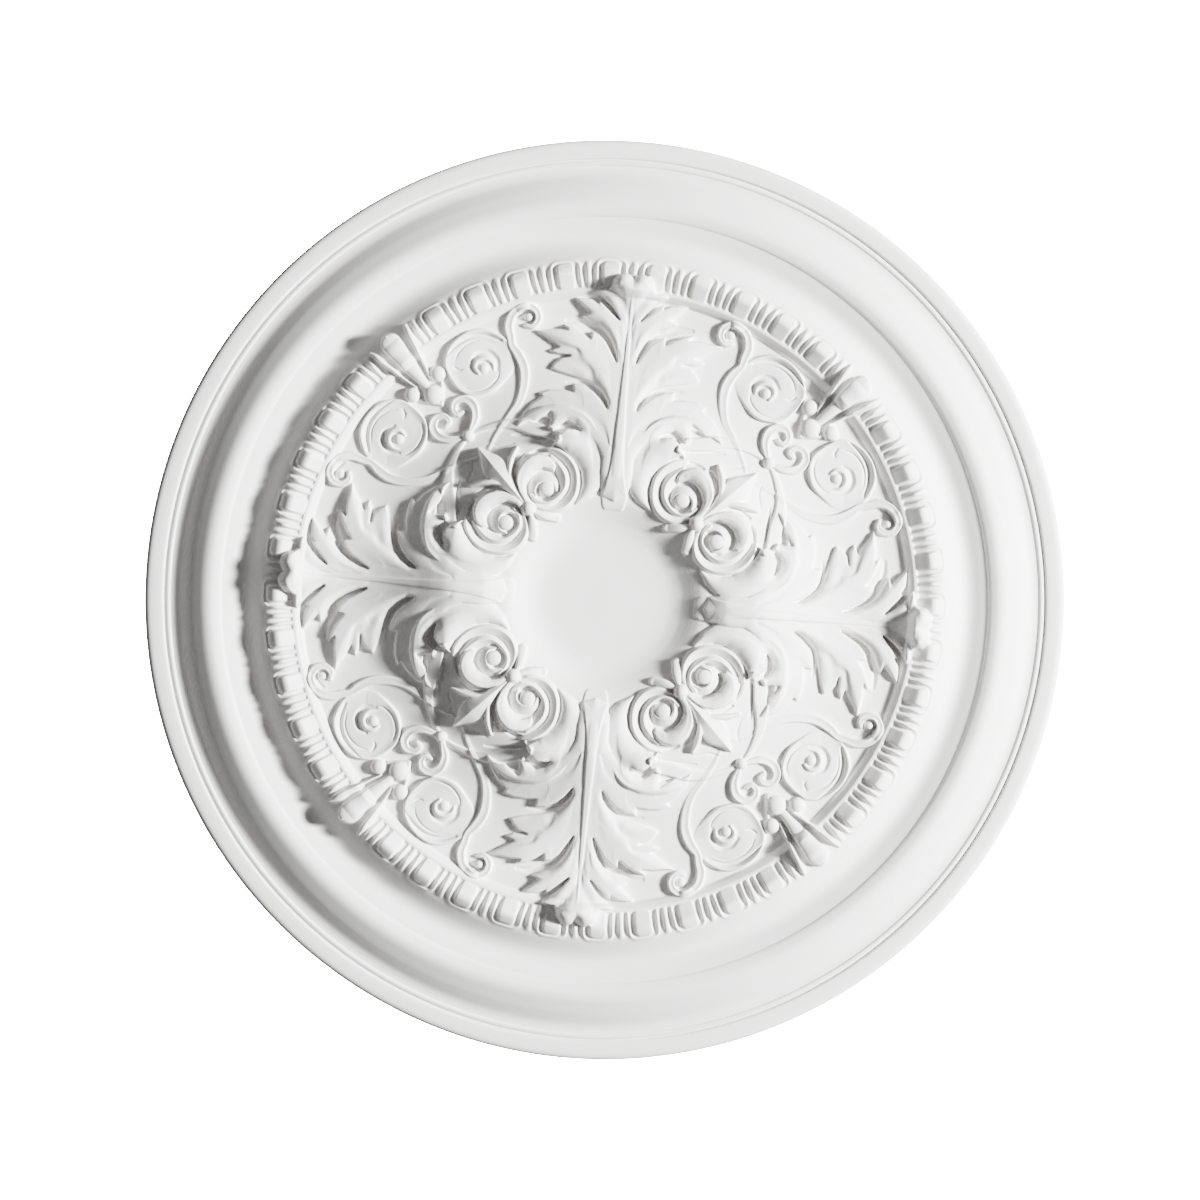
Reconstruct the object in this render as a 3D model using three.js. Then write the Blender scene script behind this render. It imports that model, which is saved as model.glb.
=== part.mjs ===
// Ceiling rose: one white casting with an acanthus leaf on each side and scrollwork between the leaves.
// Millimetres. The flat back lies on the ceiling at z = 0 and the carving faces down, towards -Z.
// The leaves lie along +X, +Y, -X and -Y, and a palmette lies on each diagonal.

import * as THREE from "three";

// Radial widths of the ring mouldings, from the outer edge inwards
const ROSE_DIAMETER = 700;
const RIM_WIDTH = 14;
const QUIRK_WIDTH = 10;
const TORUS_WIDTH = 35;
const COVE_WIDTH = 22;
const EGG_BAND_WIDTH = 35.5;
const WALL_WIDTH = 4;

// Middle of the rose: a lamp's ceiling cup is fixed on the flat disc, inside a shallow dish
const DISC_DIAMETER = 100;
const DISH_DIAMETER = 134;

// Drops of the face below the ceiling
const EDGE_DROP = 9;
const RIM_DROP = 14.5;
const QUIRK_DROP = 11.8;
const TORUS_DROP = 26.4;
const COVE_DROP = 18.2;
const EGG_BAND_DROP = 32.5;
const FILLET_DROP = 28;
const FIELD_DROP = 22.5;
const COLLAR_DROP = 49;
const DISH_RIM_DROP = 45.5;
const DISC_DROP = 37.8;

// Carving: how far its boldest forms, the eggs and the darts stand off the face
const CARVING_RISE = 12;
const EGG_RISE = 3.2;
const DART_RISE = 2.4;
const EGGS_BESIDE_LEAF = 5;
const PALMETTE_ANGLE = 10;

// Fineness of the faceted surface
const TURN_SEGMENTS = 64;
const RING_POINTS = 128;

// The carving is drawn in units of which the field's radius has 300, with rises in units of which
// the boldest has 16. Its lines and widths are shares of the carving itself.
const FIELD_UNITS = 300;
const RISE_UNITS = 16;
const STROKE_GAP = 4;
const GROUND_GAP = 14;

const roseRadius = ROSE_DIAMETER / 2;
const quirkRadius = roseRadius - RIM_WIDTH;
const torusRadius = quirkRadius - QUIRK_WIDTH;
const coveRadius = torusRadius - TORUS_WIDTH;
const eggBandRadius = coveRadius - COVE_WIDTH;
const filletRadius = eggBandRadius - EGG_BAND_WIDTH;
const fieldRadius = filletRadius - WALL_WIDTH;
const dishRadius = DISH_DIAMETER / 2;
const unit = fieldRadius / FIELD_UNITS;
const riseUnit = CARVING_RISE / RISE_UNITS;

// Points of one bow of the profile, after its first point: a curve with one control point.
function bow(from, control, to, steps) {
  const [a, b, c] = [from, control, to].map((p) => new THREE.Vector2(...p));
  const points = new THREE.QuadraticBezierCurve(a, b, c).getPoints(steps);
  return points.slice(1).map((p) => [p.x, p.y]);
}

// Profile of the ring mouldings as [radius, drop], from the edge to the shoulder of the egg band.
function mouldings() {
  const edge = [roseRadius, EDGE_DROP];
  const rimCrest = [roseRadius - RIM_WIDTH * 0.6, RIM_DROP];
  const torusFoot = [torusRadius, QUIRK_DROP + 0.4];
  const torusCrest = [coveRadius + 0.24 * TORUS_WIDTH, TORUS_DROP];
  const coveTop = [coveRadius, (TORUS_DROP + COVE_DROP) / 2];
  const coveFloor = [eggBandRadius + 0.3 * COVE_WIDTH, COVE_DROP];
  return [
    [roseRadius, 0],
    edge,
    ...bow(edge, [roseRadius, RIM_DROP], rimCrest, 2),
    [quirkRadius, RIM_DROP - 1],
    [quirkRadius - 0.12 * QUIRK_WIDTH, QUIRK_DROP],
    [quirkRadius - 0.45 * QUIRK_WIDTH, QUIRK_DROP + 1.2],
    [quirkRadius - 0.75 * QUIRK_WIDTH, QUIRK_DROP],
    torusFoot,
    ...bow(torusFoot, [torusCrest[0] + 0.4 * TORUS_WIDTH, TORUS_DROP], torusCrest, 4),
    [coveRadius + 0.08 * TORUS_WIDTH, TORUS_DROP - 2],
    coveTop,
    ...bow(coveTop, [coveFloor[0] + 0.35 * COVE_WIDTH, COVE_DROP], coveFloor, 2),
    [eggBandRadius, COVE_DROP + 2.4],
    [eggBandRadius - 0.28 * EGG_BAND_WIDTH, EGG_BAND_DROP - 6.2],
  ];
}

// Profile of the carved ground as [radius, drop], from the shoulder of the egg band to the dish.
function ground() {
  const crestRadius = filletRadius + 0.38 * EGG_BAND_WIDTH;
  const halfway = (FIELD_DROP + COLLAR_DROP) / 2;
  return [
    mouldings().at(-1),
    [crestRadius + 0.15 * EGG_BAND_WIDTH, EGG_BAND_DROP - 1.6],
    [crestRadius, EGG_BAND_DROP],
    [filletRadius + 0.1 * EGG_BAND_WIDTH, FILLET_DROP + 0.5],
    [filletRadius, FILLET_DROP],
    [fieldRadius, FIELD_DROP],
    ...bow([fieldRadius * 0.89, FIELD_DROP], [fieldRadius * 0.74, FIELD_DROP], [fieldRadius * 0.64, halfway], 3),
    ...bow([fieldRadius * 0.64, halfway], [fieldRadius * 0.56, COLLAR_DROP], [fieldRadius * 0.48, COLLAR_DROP], 3),
    [dishRadius * 1.1, COLLAR_DROP],
    [dishRadius, DISH_RIM_DROP],
  ];
}

// Profile of the dish as [radius, drop], from its rim to the edge of the flat disc.
function dish() {
  const discRadius = DISC_DIAMETER / 2;
  const lip = [dishRadius - 0.55 * (dishRadius - discRadius), DISC_DROP];
  return [[dishRadius, DISH_RIM_DROP], ...bow([dishRadius, DISH_RIM_DROP], lip, [discRadius, DISC_DROP], 3)];
}

const groundProfile = ground();

// Drop of the uncarved ground at a radius.
function groundDrop(radius) {
  for (let i = 1; i < groundProfile.length; i += 1) {
    const [outer, outerDrop] = groundProfile[i - 1];
    const [inner, innerDrop] = groundProfile[i];
    if (radius >= inner) {
      const share = Math.min((radius - inner) / (outer - inner), 1);
      return THREE.MathUtils.lerp(innerDrop, outerDrop, share);
    }
  }
  return DISH_RIM_DROP;
}

// Value at a share of a list, in straight steps from entry to entry.
function along(list, share) {
  const at = THREE.MathUtils.clamp(share, 0, 1) * (list.length - 1);
  const low = Math.min(Math.floor(at), list.length - 2);
  return THREE.MathUtils.lerp(list[low], list[low + 1], at - low);
}

// Cross-sections of carved strokes: [share of the half width, share of the rise], from side to side.
const RIDGE = [[-1, 0], [0, 1], [1, 0]];
const FLAT = [[-1, 0], [-0.6, 1], [0.6, 1], [1, 0]];
const SCOOP = [[-1, 0], [-0.7, 1], [0.1, 0.45], [1, 0.1]];

// Height of a cross-section at a share of its half width.
function sectionHeight(section, side) {
  for (let i = 1; i < section.length; i += 1) {
    const [left, low] = section[i - 1];
    const [right, high] = section[i];
    if (side >= left && side <= right) return THREE.MathUtils.mapLinear(side, left, right, low, high);
  }
  return 0;
}

// Carved stroke along a line of [across, outwards, rise], with its half widths from end to end.
function stroke(line, halves, section, steps) {
  const curve = new THREE.CatmullRomCurve3(line.map((p) => new THREE.Vector3(...p)));
  const stations = [];
  for (let i = 0; i <= steps; i += 1) {
    const middle = curve.getPoint(i / steps);
    const ahead = curve.getTangent(i / steps).setZ(0).normalize();
    stations.push({ middle, ahead, half: along(halves, i / steps) });
  }
  const points = stations.flatMap(({ middle, ahead, half }) =>
    section.map(([side]) => [middle.x - ahead.y * side * half, middle.y + ahead.x * side * half]),
  );
  const stand = (x, y) => {
    let highest = 0;
    for (let i = 1; i < stations.length; i += 1) {
      const [a, b] = [stations[i - 1], stations[i]];
      const run = new THREE.Vector2(b.middle.x - a.middle.x, b.middle.y - a.middle.y);
      const offset = new THREE.Vector2(x - a.middle.x, y - a.middle.y);
      const share = offset.dot(run) / run.lengthSq();
      if (share < -0.1 || share > 1.1) continue;
      const at = THREE.MathUtils.clamp(share, 0, 1);
      const half = THREE.MathUtils.lerp(a.half, b.half, at);
      const side = run.cross(offset) / run.length() / half;
      const rise = THREE.MathUtils.lerp(a.middle.z, b.middle.z, at);
      highest = Math.max(highest, rise * sectionHeight(section, side));
    }
    return highest;
  };
  return { points, stand };
}

// Round boss with its centre, radius and rise.
function boss([x, y, rise], radius) {
  const points = [[x, y]];
  for (let i = 0; i < 7; i += 1) {
    const turn = (2 * Math.PI * i) / 7;
    points.push([x + 0.65 * radius * Math.cos(turn), y + 0.65 * radius * Math.sin(turn)]);
    points.push([x + radius * Math.cos(turn), y + radius * Math.sin(turn)]);
  }
  const stand = (px, py) => rise * Math.sqrt(Math.max(0, 1 - (Math.hypot(px - x, py - y) / radius) ** 2));
  return { points, stand };
}

// Points given from a diagonal, [across, outwards, rise], as points given from the leaf beside it.
function fromDiagonal(...line) {
  return line.map(([x, y, rise]) => {
    const angle = Math.PI / 4 - Math.atan2(x, y);
    const radius = Math.hypot(x, y);
    return [radius * Math.sin(angle), radius * Math.cos(angle), rise];
  });
}

// Acanthus leaf: stem with its keel, curled tip and the lobes on one side
function leaf() {
  const stem = [[0, 99, 3], [0, 125, 14], [0, 160, 15], [0, 205, 12], [0, 250, 8], [0, 285, 12], [0, 302, 19]];
  const keel = stem.map(([x, y, rise]) => [x, y, rise + 1.5]);
  return [
    stroke(keel, [10, 7, 4.5, 3, 2.5, 2, 2], FLAT, 7),
    stroke(stem, [11, 17, 17, 12, 10, 12, 16], FLAT, 8),
    stroke([[8, 296, 15], [10, 311, 19], [11, 322, 9], [11, 332, 2]], [9, 12, 12, 8], FLAT, 4),
    stroke([[5, 276, 9], [14, 295, 12], [24, 307, 13], [37, 315, 5]], [4, 6, 7, 1.5], RIDGE, 4),
    stroke([[6, 245, 8], [14, 271, 9], [28, 286, 10], [44, 293, 10], [58, 297, 5]], [5, 9, 8, 6, 1], RIDGE, 6),
    stroke([[8, 190, 10], [20, 220, 9], [38, 243, 9], [62, 257, 11], [93, 263, 5]], [6, 12, 14, 9, 1], RIDGE, 7),
    stroke([[52, 252, 8], [84, 238, 5]], [7, 1], RIDGE, 2),
    stroke([[42, 236, 7], [60, 234, 7], [77, 230, 4]], [7, 5, 1], RIDGE, 2),
    stroke([[34, 220, 6], [63, 209, 4]], [7, 1], RIDGE, 2),
    stroke([[10, 165, 13], [19, 190, 13], [37, 206, 11], [60, 211, 9], [84, 206, 5]], [6, 8, 7, 6, 2], RIDGE, 6),
  ];
}

// Large curled bowl beside the leaf, and the volute that it ends in
function bowlAndVolute() {
  const arc = [];
  for (let step = 0; step <= 6; step += 1) {
    const turn = THREE.MathUtils.degToRad(50 + 37 * step);
    arc.push([66 + 43 * Math.cos(turn), 142 + 43 * Math.sin(turn), [10, 12, 13, 12, 12, 10, 4][step]]);
  }
  const volute = fromDiagonal(
    [58, 157, 8], [66, 138, 9], [60, 113, 9], [40, 101, 9], [18, 105, 9], [11, 124, 9], [24, 137, 9], [37, 126, 7],
  );
  return [
    boss(fromDiagonal([26, 124, 11])[0], 9),
    stroke(volute, [3, 4.5, 5, 5, 5, 4.5, 4, 3], RIDGE, 14),
    stroke(arc.reverse(), [7, 12, 13, 14, 14, 13, 5], SCOOP, 12),
    stroke(fromDiagonal([4, 132, 8], [15, 149, 8], [34, 158, 9], [50, 150, 9], [49, 133, 6]), [3, 6, 6, 6, 3], RIDGE, 6),
    stroke(fromDiagonal([3, 140, 6], [9, 157, 8], [28, 174, 6]), [3, 4, 2], RIDGE, 3),
    stroke(fromDiagonal([3, 113, 8], [15, 93, 5]), [4, 6], RIDGE, 2),
  ];
}

// Thin S-shaped stem with its small curl, and the ribbon that crosses it
function stemScroll() {
  const stem = fromDiagonal(
    [8, 190, 4], [58, 205, 5], [91, 232, 6], [95, 268, 6], [112, 285, 6], [136, 272, 6], [124, 256, 6], [118, 268, 6],
  );
  return [
    stroke(stem, [2.5, 3.5, 5, 5.5, 5, 4.5, 4, 3], RIDGE, 15),
    stroke(fromDiagonal([2, 213, 4], [34, 199, 5], [52, 184, 7], [60, 168, 8]), [2, 3, 4, 4], RIDGE, 4),
  ];
}

// Large C-shaped scroll, half of the heart and one of the beads beside the diagonal
function scrollGroup() {
  const scroll = fromDiagonal(
    [91, 263, 4], [76, 286, 6], [49, 294, 8], [25, 276, 7], [26, 249, 8], [47, 239, 8], [60, 251, 8], [51, 258, 8],
  );
  return [
    stroke(scroll, [1.5, 4, 6, 6, 7, 7, 5, 4], RIDGE, 17),
    stroke(fromDiagonal([2, 214, 5], [22, 226, 6], [23, 245, 6], [8, 247, 6], [10, 236, 5]), [2, 4, 4, 3, 2], RIDGE, 8),
    boss(fromDiagonal([15, 280, 9])[0], 8),
  ];
}

// Palmette, beads and small leaf on the diagonal, with what is on one side of it
function palmette() {
  return [
    stroke(fromDiagonal([0, 277, 9], [0, 304, 13], [0, 328, 8], [0, 342, 6]), [2, 5, 8, 10], FLAT, 4),
    stroke(fromDiagonal([4, 284, 9], [10, 306, 11], [18, 324, 7], [34, 336, 4]), [3, 5, 6, 2], RIDGE, 4),
    boss(fromDiagonal([0, 267, 10])[0], 10),
    boss(fromDiagonal([0, 213, 6])[0], 6),
    stroke(fromDiagonal([0, 128, 9], [0, 150, 8], [0, 168, 10], [0, 196, 8]), [3, 9, 13, 1], RIDGE, 4),
    boss(fromDiagonal([0, 118, 13])[0], 8),
  ];
}

// Egg or dart: a stroke across the band at an angle from the leaf, in degrees.
function bandStroke(angle, from, to, halves, rise, section) {
  const turn = THREE.MathUtils.degToRad(angle);
  const line = [from, (from + to) / 2, to].map((share) => {
    const radius = (filletRadius + share * EGG_BAND_WIDTH) / unit;
    return [radius * Math.sin(turn), radius * Math.cos(turn), rise / riseUnit];
  });
  return stroke(line, halves.map((half) => half / unit), section, 2);
}

function eggsAndDarts() {
  const pitch = (45 - PALMETTE_ANGLE / 2) / EGGS_BESIDE_LEAF;
  const half = 0.3 * (filletRadius + 0.4 * EGG_BAND_WIDTH) * THREE.MathUtils.degToRad(pitch);
  const strokes = [];
  for (let i = 0; i < EGGS_BESIDE_LEAF; i += 1) {
    strokes.push(bandStroke((i + 0.5) * pitch, 0.16, 0.6, [half, half, 0.5 * half], EGG_RISE, FLAT));
    strokes.push(bandStroke((i + 1) * pitch, 0.16, 0.62, [2, 2.6, 2.6], DART_RISE, RIDGE));
  }
  return strokes;
}

const carving = [
  ...leaf(), ...palmette(), ...bowlAndVolute(), ...stemScroll(), ...scrollGroup(), ...eggsAndDarts(),
];

// Point on a circle, in the carving's units.
function onCircle(radius, turn) {
  return [(radius / unit) * Math.sin(turn), (radius / unit) * Math.cos(turn)];
}

// Points of the carving between a leaf's middle line and the next diagonal, thinned to their gaps.
function octantPoints() {
  const kept = [];
  const keep = (candidates, gap) => {
    for (const [x, y] of candidates) {
      const toDiagonal = (y - x) * Math.SQRT1_2;
      if (x < -0.01 || toDiagonal < -0.01) continue;
      const onLeafLine = x < gap / 2;
      const onDiagonal = toDiagonal < gap / 2;
      const mean = (x + y) / 2;
      const point = onDiagonal ? [mean, mean] : [onLeafLine ? 0 : x, y];
      const radius = Math.hypot(...point) * unit;
      if (radius < dishRadius + 5 * unit || radius > groundProfile[0][0] - 3 * unit) continue;
      if (kept.every(([a, b]) => Math.hypot(point[0] - a, point[1] - b) >= gap)) kept.push(point);
    }
  };
  for (const radius of [filletRadius, fieldRadius])
    keep(Array.from({ length: RING_POINTS / 8 + 1 }, (_, i) => onCircle(radius, (2 * Math.PI * i) / RING_POINTS)), STROKE_GAP);
  for (const { points } of carving) keep(points, STROKE_GAP);
  for (const [radius] of groundProfile.slice(1, -1)) {
    const count = Math.ceil((radius / unit) * (Math.PI / 4) / (2 * GROUND_GAP));
    keep(Array.from({ length: count + 1 }, (_, i) => onCircle(radius, (Math.PI / 4) * (i / count))), GROUND_GAP);
  }
  return kept;
}

// Height of the carving over the ground at a point of the octant, in millimetres.
function carvedRise(x, y) {
  return riseUnit * Math.max(...carving.map(({ stand }) => stand(x, y)));
}

// Triangles of points in the plane, so joined that no point lies inside another triangle's circle.
function triangulate(points) {
  const far = 1e5;
  const corners = [...points, [-far, -far], [far, -far], [0, far]];
  const nudged = corners.map(([x, y], i) => [x + 1e-3 * Math.sin(12.9 * i), y + 1e-3 * Math.sin(78.2 * i)]);
  const withCircle = (a, b, c) => {
    const [[ax, ay], [bx, by], [cx, cy]] = [nudged[a], nudged[b], nudged[c]];
    const twice = 2 * ((bx - ax) * (cy - ay) - (by - ay) * (cx - ax));
    const toB = (bx - ax) ** 2 + (by - ay) ** 2;
    const toC = (cx - ax) ** 2 + (cy - ay) ** 2;
    const x = ((cy - ay) * toB - (by - ay) * toC) / twice;
    const y = ((bx - ax) * toC - (cx - ax) * toB) / twice;
    return { abc: [a, b, c], x: ax + x, y: ay + y, squared: x * x + y * y };
  };
  const count = points.length;
  let triangles = [withCircle(count, count + 1, count + 2)];
  for (let i = 0; i < count; i += 1) {
    const [x, y] = nudged[i];
    const open = new Map();
    triangles = triangles.filter((triangle) => {
      if ((x - triangle.x) ** 2 + (y - triangle.y) ** 2 >= triangle.squared) return true;
      const [a, b, c] = triangle.abc;
      for (const [from, to] of [[a, b], [b, c], [c, a]])
        if (!open.delete(`${to} ${from}`)) open.set(`${from} ${to}`, [from, to]);
      return false;
    });
    for (const [from, to] of open.values()) triangles.push(withCircle(from, to, i));
  }
  return triangles.map(({ abc }) => abc).filter((abc) => Math.max(...abc) < count);
}

// The whole casting as one closed surface: carved ground, ring mouldings, dish and flat back
function roseGeometry() {
  const positions = [];
  const index = [];
  const ring = (radius, drop) => {
    const first = positions.length;
    for (let i = 0; i < TURN_SEGMENTS; i += 1) {
      const turn = (2 * Math.PI * i) / TURN_SEGMENTS;
      positions.push([radius * Math.sin(turn), radius * Math.cos(turn), -drop]);
    }
    return first;
  };
  const strip = (outer, inner) => {
    for (let i = 0; i < TURN_SEGMENTS; i += 1) {
      const next = (i + 1) % TURN_SEGMENTS;
      index.push(outer + i, outer + next, inner + i, inner + i, outer + next, inner + next);
    }
  };
  const fan = (rim, z, facingUp) => {
    const middle = positions.push([0, 0, z]) - 1;
    for (let i = 0; i < TURN_SEGMENTS; i += 1) {
      const next = (i + 1) % TURN_SEGMENTS;
      index.push(middle, ...(facingUp ? [rim + next, rim + i] : [rim + i, rim + next]));
    }
  };

  const shoulder = ring(...groundProfile[0]);
  const dishRim = ring(...groundProfile.at(-1));
  for (const [x, y] of octantPoints()) {
    const z = -groundDrop(Math.hypot(x, y) * unit) - carvedRise(x, y);
    const onMirror = x === 0 || x === y;
    for (let quarter = 0; quarter < 4; quarter += 1)
      for (const side of onMirror ? [1] : [1, -1]) {
        const turned = new THREE.Vector2(side * x, y).rotateAround(new THREE.Vector2(), (quarter * Math.PI) / 2);
        positions.push([turned.x * unit, turned.y * unit, z]);
      }
  }
  for (const [a, b, c] of triangulate(positions)) {
    const insideDish = [a, b, c].every((i) => i >= dishRim && i < dishRim + TURN_SEGMENTS);
    if (!insideDish) index.push(a, c, b);
  }

  let outer = shoulder;
  for (const [radius, drop] of mouldings().reverse().slice(1)) {
    const next = ring(radius, drop);
    strip(next, outer);
    outer = next;
  }
  fan(outer, 0, true);
  let inner = dishRim;
  for (const [radius, drop] of dish().slice(1)) {
    const next = ring(radius, drop);
    strip(inner, next);
    inner = next;
  }
  fan(inner, -DISC_DROP, false);

  const geometry = new THREE.BufferGeometry();
  geometry.setAttribute("position", new THREE.Float32BufferAttribute(positions.flat(), 3));
  geometry.setIndex(index);
  geometry.computeVertexNormals();
  return geometry;
}

const casting = new THREE.MeshStandardMaterial({ color: 0xf1f0ed, roughness: 0.75, metalness: 0 });

const rose = new THREE.Mesh(roseGeometry(), casting);
rose.name = "ceiling_rose";

const group = new THREE.Group();
group.add(rose);

export default group;
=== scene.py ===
"""Ceiling rose: one white casting with an acanthus leaf on each side and scrollwork between the leaves.

The flat back lies on the ceiling at z = 0 and the carving faces down. The leaves lie along +X, +Y, -X
and -Y. The carving is worked out as a relief over one eighth of the rose and is then mirrored and turned.
"""

import math

import bmesh
import bpy
import numpy as np
from bpy.props import FloatProperty, FloatVectorProperty, IntProperty, PointerProperty
from mathutils import Matrix, Vector


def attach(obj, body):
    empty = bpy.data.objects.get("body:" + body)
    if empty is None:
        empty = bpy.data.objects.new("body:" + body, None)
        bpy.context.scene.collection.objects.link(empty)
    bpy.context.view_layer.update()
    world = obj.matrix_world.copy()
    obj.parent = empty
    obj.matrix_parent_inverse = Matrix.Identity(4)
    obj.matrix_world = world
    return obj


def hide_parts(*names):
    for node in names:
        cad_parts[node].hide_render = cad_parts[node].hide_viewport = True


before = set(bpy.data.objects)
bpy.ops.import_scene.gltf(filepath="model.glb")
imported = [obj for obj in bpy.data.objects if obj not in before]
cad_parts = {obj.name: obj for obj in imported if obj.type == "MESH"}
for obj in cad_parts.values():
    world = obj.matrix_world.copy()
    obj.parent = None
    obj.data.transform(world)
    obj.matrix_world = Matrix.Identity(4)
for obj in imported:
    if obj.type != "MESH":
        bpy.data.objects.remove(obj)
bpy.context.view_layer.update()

bl_info = {
    "name": "Ceiling rose",
    "version": (1, 0, 0),
    "blender": (4, 5, 0),
    "location": "3D View > Sidebar > Rose",
    "description": "Builds a cast ceiling rose with leaves, scrolls and ring mouldings",
    "category": "Add Mesh",
}

NODE = "ceiling_rose"

# The rose is drawn in units of which its radius has ROSE_UNITS. Drops are measured down from the ceiling.
# The ground between the radii CARVED_FROM and CARVED_TO is carved, and the carving grows out of the plain
# ground over BLEND_INSIDE and BLEND_OUTSIDE.
ROSE_UNITS = 461.6
CARVED_FROM = 88.0
CARVED_TO = 345.0
BLEND_INSIDE = 3
BLEND_OUTSIDE = 2

# Each carved quarter is a closed body with its flat underside at UNDERSIDE. It stands in the turned body,
# whose face is sunk to BED beneath it. At both borders the turned face dips by LAP over LAP_WIDTH, so that
# the carved one covers the joint.
UNDERSIDE = 12.0
BED = 26.5
LAP = 0.25
LAP_WIDTH = 0.5

# Points within WELD metres of each other are one point. Points within BORDER_REACH units of a mirror plane
# are put on it. Edges of more than SHARP_ANGLE degrees are arrises. Faces less than BACK_BELOW units below
# the ceiling are the back.
WELD = 1e-6
BORDER_REACH = 0.02
SHARP_ANGLE = 42
BACK_BELOW = 0.1

# Egg band: it begins and ends in a short step, its ornament swells from the inside and fades outwards, and
# the palmette covers it from PALMETTE_TURN degrees. An egg and its shell are [half width, corner, inner and
# outer end], and the band is sunk a little between them.
BAND_FROM = 311.5
BAND_TO = 344.5
SWELL_FROM = 312
SWELL_OVER = 14
FADE_FROM = 327
FADE_OVER = 12
SHOWN_FROM = 308
PALMETTE_TURN = 41.6
EGG = (9.9, 6.5, 309, 338.5)
EGG_SPREAD = 0.05
EGG_SPREAD_FROM = 328
SHELL = (17.0, 9.5, 290, 342.5)
SHELL_INSET = 2.5
SHELL_WALL = 2.8
DART_TO = 340
BAND_SINK = 1.8

# Finish: how fine the grain is, and how deep in metres.
FACE_GRAIN = 900.0
FACE_DEPTH = 0.00012
BACK_GRAIN = 350.0
BACK_DEPTH = 0.0006
BACK_ROUGHNESS = 0.8
ROUGHNESS_SPREAD = 0.06
SPECULAR = 0.35

# The photo is PICTURE pixels wide. In it the rose has a radius of PHOTO_RADIUS and is turned by PHOTO_TURN
# degrees. The camera stands ASIDE and BELOW the rose's axis, in pixels too, and sees its outline FACE_DROP
# below the ceiling.
PICTURE = 1200
PHOTO_RADIUS = 461.6
PHOTO_TURN = 5.2
ASIDE = -4.7
BELOW = 0.1
SENSOR_WIDTH = 36
CAMERA_DISTANCE = 3.0
FACE_DROP = 0.02

# Floor, lamps and surround, in metres and watts. The key lamp stands to the right of the camera's axis, the
# top lamp behind the rose. The surround gives SURROUND_LIGHT but shows as white.
FLOOR_HALF = 9
FLOOR_LEVEL = -4.6
FLOOR_COLOUR = (0.25, 0.25, 0.245, 1)
FLOOR_ROUGHNESS = 0.8
KEY_ASIDE = 4.26
KEY_ABOVE = 0.3
KEY_LEVEL = -2.6
KEY_SIZE = 0.8
KEY_POWER = 750
TOP_PLACE = (1.2, -1.6, 2.6)
TOP_SIZE = 1.2
TOP_POWER = 60
SURROUND_LIGHT = 0.2
SURROUND_SEEN = 20.0

# Profile of the uncarved rose, in stretches that are each smooth and meet at an arris. Their nodes are
# [radius, drop].
PROFILE = [
    [(0, 49.8), (40, 49.8), (62, 50.6), (74, 53.3), (82, 56.9), (90, 61.2), (98, 64.4), (108, 65.2),
     (140, 65), (155, 63.4), (170, 58), (190, 49.2), (215, 40.1), (240, 33.5), (262, 30.5), (285, 29.5),
     (302, 29.9)],
    [(302, 29.9), (304.5, 34), (309, 38.2)],
    [(309, 38.2), (312.5, 38.6), (318, 40), (326, 42.4), (333, 41.5), (342, 36.5), (350, 29.9), (356, 25.9),
     (362, 24), (368, 24.5), (376, 27.4), (383, 29.9)],
    [(383, 29.9), (384.5, 31.6), (388, 33.4), (394, 34.8), (401, 33.5), (411, 28.4)],
    [(411, 28.4), (415, 26), (420, 22.4), (426, 18.0), (431, 16.2), (435.2, 15.9)],
    [(435.2, 15.9), (436.5, 17.2), (438.2, 17.6), (440, 17), (441, 15.9)],
    [(441, 15.9), (442, 16.4), (443.2, 18.4), (447, 19.0), (452, 19.1), (456, 18.8), (459, 17.6),
     (460.8, 15.2), (461.6, 10.5)],
    [(461.6, 10.5), (461.6, 1.2)],
    [(461.6, 1.2), (461.2, 0.3), (460.4, 0)],
    [(460.4, 0), (0, 0)],
]


def spline(nodes, steps):
    """Points of a smooth curve through nodes of any number of values."""
    p = np.asarray(nodes, float)
    p = np.vstack([2 * p[0] - p[1], p, 2 * p[-1] - p[-2]])
    t = np.linspace(0, 1, steps, endpoint=False)[:, None]
    parts = [
        0.5 * (2 * b + (c - a) * t + (2 * a - 5 * b + 4 * c - d) * t**2 + (3 * b - a - 3 * c + d) * t**3)
        for a, b, c, d in zip(p, p[1:], p[2:], p[3:])
    ]
    return np.vstack([*parts, p[-2:-1]])


def profile_points(steps):
    """The whole profile from the middle of the disc round the edge to the middle of the back."""
    stretches = [spline(nodes, steps if len(nodes) > 2 else 1) for nodes in PROFILE]
    return np.vstack([stretches[0], *(s[1:] for s in stretches[1:])])


def ease(share):
    """A soft step from 0 to 1."""
    share = np.clip(share, 0, 1)
    return share * share * (3 - 2 * share)


GROUND = profile_points(12)
GROUND = GROUND[: int(np.argmax(GROUND[:, 0])) + 1]


def ground_drop(radius):
    """Drop of the uncarved face at a radius."""
    return np.interp(radius, GROUND[:, 0], GROUND[:, 1])


def distance_to(px, py, a, b):
    """Distance to the line from a to b, and the third value at the nearest place on it."""
    run = b[:2] - a[:2]
    ox, oy = px - a[0], py - a[1]
    t = np.clip((ox * run[0] + oy * run[1]) / (run @ run + 1e-12), 0, 1)
    return np.hypot(ox - t * run[0], oy - t * run[1]), a[2] + (b[2] - a[2]) * t


# Carving


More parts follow.
